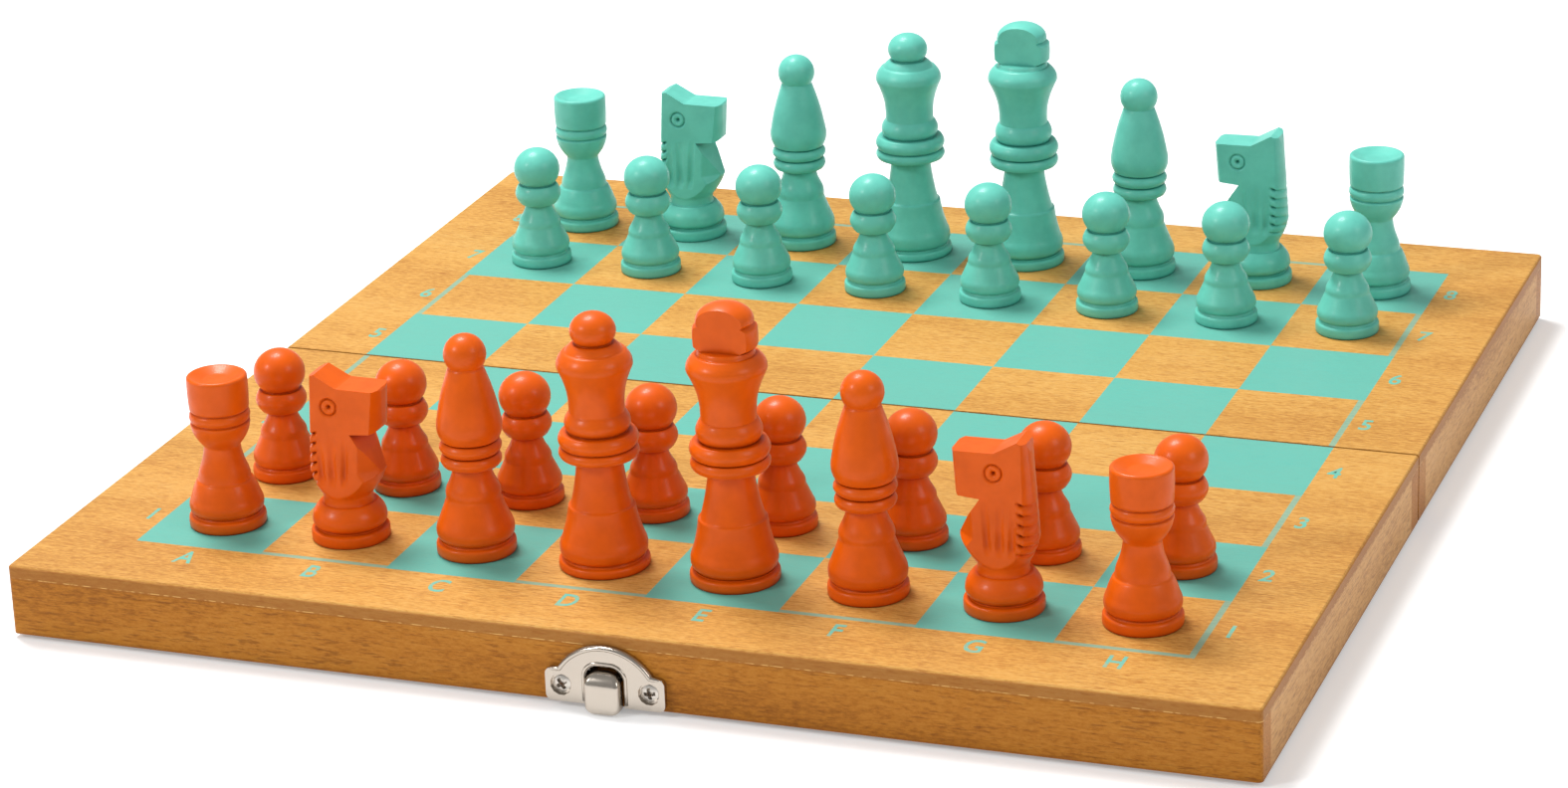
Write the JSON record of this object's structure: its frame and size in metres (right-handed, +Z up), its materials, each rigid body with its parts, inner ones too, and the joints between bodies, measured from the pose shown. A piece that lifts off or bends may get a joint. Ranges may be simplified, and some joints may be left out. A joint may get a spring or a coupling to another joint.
{
  "type": "folding chess and draughts set",
  "caption": "Hinged wooden games case opened flat as a board, with a clasp on its front edge, turned chessmen in two colours set out on the squares and draughtsmen beneath.",
  "frame": {"origin": "under the middle of the seam between the halves, on the surface the set stands on", "axes": "+X from the A file to the H file, +Y from rank 1 to rank 8, +Z up"},
  "size_m": [0.29, 0.297, 0.0824],
  "materials": {
    "board_panel": "satin stained ply, printed squares",
    "rail_wood": "satin stained solid wood",
    "orange_paint": "turned wood, satin orange paint",
    "teal_paint": "turned wood, satin teal paint",
    "nickel": "pressed steel, bright nickel plate",
    "hinge_steel": "nickel plated steel",
    "steel_fixings": "nickel plated steel"
  },
  "bodies": {
    "front_half": {"front_board": "board_panel", "front_outer_rail": "rail_wood", "front_seam_rail": "rail_wood", "front_left_rail": "rail_wood", "front_right_rail": "rail_wood", "left_hinge_front_leaf": "hinge_steel", "right_hinge_front_leaf": "hinge_steel", "left_hinge_pin": "steel_fixings", "right_hinge_pin": "steel_fixings", "front_hinge_screws": "steel_fixings", "clasp_plate": "nickel", "clasp_pin": "steel_fixings", "clasp_screws": "steel_fixings"},
    "rear_half": {"rear_board": "board_panel", "rear_outer_rail": "rail_wood", "rear_seam_rail": "rail_wood", "rear_left_rail": "rail_wood", "rear_right_rail": "rail_wood", "left_hinge_rear_leaf": "hinge_steel", "right_hinge_rear_leaf": "hinge_steel", "rear_hinge_screws": "steel_fixings", "catch_plate": "nickel", "catch_screws": "steel_fixings"},
    "clasp_tongue": {"clasp_tongue": "nickel"},
    "orange_rook_a": {"orange_rook_a": "orange_paint"},
    "orange_pawn_a": {"orange_pawn_a": "orange_paint"},
    "orange_knight_b": {"orange_knight_b": "orange_paint"},
    "orange_pawn_b": {"orange_pawn_b": "orange_paint"},
    "orange_bishop_c": {"orange_bishop_c": "orange_paint"},
    "orange_pawn_c": {"orange_pawn_c": "orange_paint"},
    "orange_queen": {"orange_queen": "orange_paint"},
    "orange_pawn_d": {"orange_pawn_d": "orange_paint"},
    "orange_king": {"orange_king": "orange_paint"},
    "orange_pawn_e": {"orange_pawn_e": "orange_paint"},
    "orange_bishop_f": {"orange_bishop_f": "orange_paint"},
    "orange_pawn_f": {"orange_pawn_f": "orange_paint"},
    "orange_knight_g": {"orange_knight_g": "orange_paint"},
    "orange_pawn_g": {"orange_pawn_g": "orange_paint"},
    "orange_rook_h": {"orange_rook_h": "orange_paint"},
    "orange_pawn_h": {"orange_pawn_h": "orange_paint"},
    "teal_rook_a": {"teal_rook_a": "teal_paint"},
    "teal_pawn_a": {"teal_pawn_a": "teal_paint"},
    "teal_knight_b": {"teal_knight_b": "teal_paint"},
    "teal_pawn_b": {"teal_pawn_b": "teal_paint"},
    "teal_bishop_c": {"teal_bishop_c": "teal_paint"},
    "teal_pawn_c": {"teal_pawn_c": "teal_paint"},
    "teal_queen": {"teal_queen": "teal_paint"},
    "teal_pawn_d": {"teal_pawn_d": "teal_paint"},
    "teal_king": {"teal_king": "teal_paint"},
    "teal_pawn_e": {"teal_pawn_e": "teal_paint"},
    "teal_bishop_f": {"teal_bishop_f": "teal_paint"},
    "teal_pawn_f": {"teal_pawn_f": "teal_paint"},
    "teal_knight_g": {"teal_knight_g": "teal_paint"},
    "teal_pawn_g": {"teal_pawn_g": "teal_paint"},
    "teal_rook_h": {"teal_rook_h": "teal_paint"},
    "teal_pawn_h": {"teal_pawn_h": "teal_paint"},
    "orange_draughts": {"orange_draughts": "orange_paint"},
    "teal_draughts": {"teal_draughts": "teal_paint"}
  },
  "joints": [
    {"name": "fold", "type": "hinge", "parent": "front_half", "child": "rear_half", "pos_m": [0, 0, 0.0011], "axis": [-1, 0, 0], "range_deg": [0, 180]},
    {"name": "tongue_swing", "type": "hinge", "parent": "front_half", "child": "clasp_tongue", "pos_m": [0, -0.144, 0.00875], "axis": [-1, 0, 0], "range_deg": [0, 20]},
    {"name": "orange_rook_a_lift", "type": "slide", "parent": "front_half", "child": "orange_rook_a", "axis": [0, 0, 1], "range_m": [0, 0.07]},
    {"name": "orange_pawn_a_lift", "type": "slide", "parent": "front_half", "child": "orange_pawn_a", "axis": [0, 0, 1], "range_m": [0, 0.07]},
    {"name": "orange_knight_b_lift", "type": "slide", "parent": "front_half", "child": "orange_knight_b", "axis": [0, 0, 1], "range_m": [0, 0.07]},
    {"name": "orange_pawn_b_lift", "type": "slide", "parent": "front_half", "child": "orange_pawn_b", "axis": [0, 0, 1], "range_m": [0, 0.07]},
    {"name": "orange_bishop_c_lift", "type": "slide", "parent": "front_half", "child": "orange_bishop_c", "axis": [0, 0, 1], "range_m": [0, 0.07]},
    {"name": "orange_pawn_c_lift", "type": "slide", "parent": "front_half", "child": "orange_pawn_c", "axis": [0, 0, 1], "range_m": [0, 0.07]},
    {"name": "orange_queen_lift", "type": "slide", "parent": "front_half", "child": "orange_queen", "axis": [0, 0, 1], "range_m": [0, 0.07]},
    {"name": "orange_pawn_d_lift", "type": "slide", "parent": "front_half", "child": "orange_pawn_d", "axis": [0, 0, 1], "range_m": [0, 0.07]},
    {"name": "orange_king_lift", "type": "slide", "parent": "front_half", "child": "orange_king", "axis": [0, 0, 1], "range_m": [0, 0.07]},
    {"name": "orange_pawn_e_lift", "type": "slide", "parent": "front_half", "child": "orange_pawn_e", "axis": [0, 0, 1], "range_m": [0, 0.07]},
    {"name": "orange_bishop_f_lift", "type": "slide", "parent": "front_half", "child": "orange_bishop_f", "axis": [0, 0, 1], "range_m": [0, 0.07]},
    {"name": "orange_pawn_f_lift", "type": "slide", "parent": "front_half", "child": "orange_pawn_f", "axis": [0, 0, 1], "range_m": [0, 0.07]},
    {"name": "orange_knight_g_lift", "type": "slide", "parent": "front_half", "child": "orange_knight_g", "axis": [0, 0, 1], "range_m": [0, 0.07]},
    {"name": "orange_pawn_g_lift", "type": "slide", "parent": "front_half", "child": "orange_pawn_g", "axis": [0, 0, 1], "range_m": [0, 0.07]},
    {"name": "orange_rook_h_lift", "type": "slide", "parent": "front_half", "child": "orange_rook_h", "axis": [0, 0, 1], "range_m": [0, 0.07]},
    {"name": "orange_pawn_h_lift", "type": "slide", "parent": "front_half", "child": "orange_pawn_h", "axis": [0, 0, 1], "range_m": [0, 0.07]},
    {"name": "teal_rook_a_lift", "type": "slide", "parent": "rear_half", "child": "teal_rook_a", "axis": [0, 0, 1], "range_m": [0, 0.07]},
    {"name": "teal_pawn_a_lift", "type": "slide", "parent": "rear_half", "child": "teal_pawn_a", "axis": [0, 0, 1], "range_m": [0, 0.07]},
    {"name": "teal_knight_b_lift", "type": "slide", "parent": "rear_half", "child": "teal_knight_b", "axis": [0, 0, 1], "range_m": [0, 0.07]},
    {"name": "teal_pawn_b_lift", "type": "slide", "parent": "rear_half", "child": "teal_pawn_b", "axis": [0, 0, 1], "range_m": [0, 0.07]},
    {"name": "teal_bishop_c_lift", "type": "slide", "parent": "rear_half", "child": "teal_bishop_c", "axis": [0, 0, 1], "range_m": [0, 0.07]},
    {"name": "teal_pawn_c_lift", "type": "slide", "parent": "rear_half", "child": "teal_pawn_c", "axis": [0, 0, 1], "range_m": [0, 0.07]},
    {"name": "teal_queen_lift", "type": "slide", "parent": "rear_half", "child": "teal_queen", "axis": [0, 0, 1], "range_m": [0, 0.07]},
    {"name": "teal_pawn_d_lift", "type": "slide", "parent": "rear_half", "child": "teal_pawn_d", "axis": [0, 0, 1], "range_m": [0, 0.07]},
    {"name": "teal_king_lift", "type": "slide", "parent": "rear_half", "child": "teal_king", "axis": [0, 0, 1], "range_m": [0, 0.07]},
    {"name": "teal_pawn_e_lift", "type": "slide", "parent": "rear_half", "child": "teal_pawn_e", "axis": [0, 0, 1], "range_m": [0, 0.07]},
    {"name": "teal_bishop_f_lift", "type": "slide", "parent": "rear_half", "child": "teal_bishop_f", "axis": [0, 0, 1], "range_m": [0, 0.07]},
    {"name": "teal_pawn_f_lift", "type": "slide", "parent": "rear_half", "child": "teal_pawn_f", "axis": [0, 0, 1], "range_m": [0, 0.07]},
    {"name": "teal_knight_g_lift", "type": "slide", "parent": "rear_half", "child": "teal_knight_g", "axis": [0, 0, 1], "range_m": [0, 0.07]},
    {"name": "teal_pawn_g_lift", "type": "slide", "parent": "rear_half", "child": "teal_pawn_g", "axis": [0, 0, 1], "range_m": [0, 0.07]},
    {"name": "teal_rook_h_lift", "type": "slide", "parent": "rear_half", "child": "teal_rook_h", "axis": [0, 0, 1], "range_m": [0, 0.07]},
    {"name": "teal_pawn_h_lift", "type": "slide", "parent": "rear_half", "child": "teal_pawn_h", "axis": [0, 0, 1], "range_m": [0, 0.07]},
    {"name": "orange_draughts_drop", "type": "slide", "parent": "front_half", "child": "orange_draughts", "axis": [0, 0, 1], "range_m": [-0.02, 0.004]},
    {"name": "teal_draughts_drop", "type": "slide", "parent": "front_half", "child": "teal_draughts", "axis": [0, 0, 1], "range_m": [-0.02, 0.004]}
  ]
}
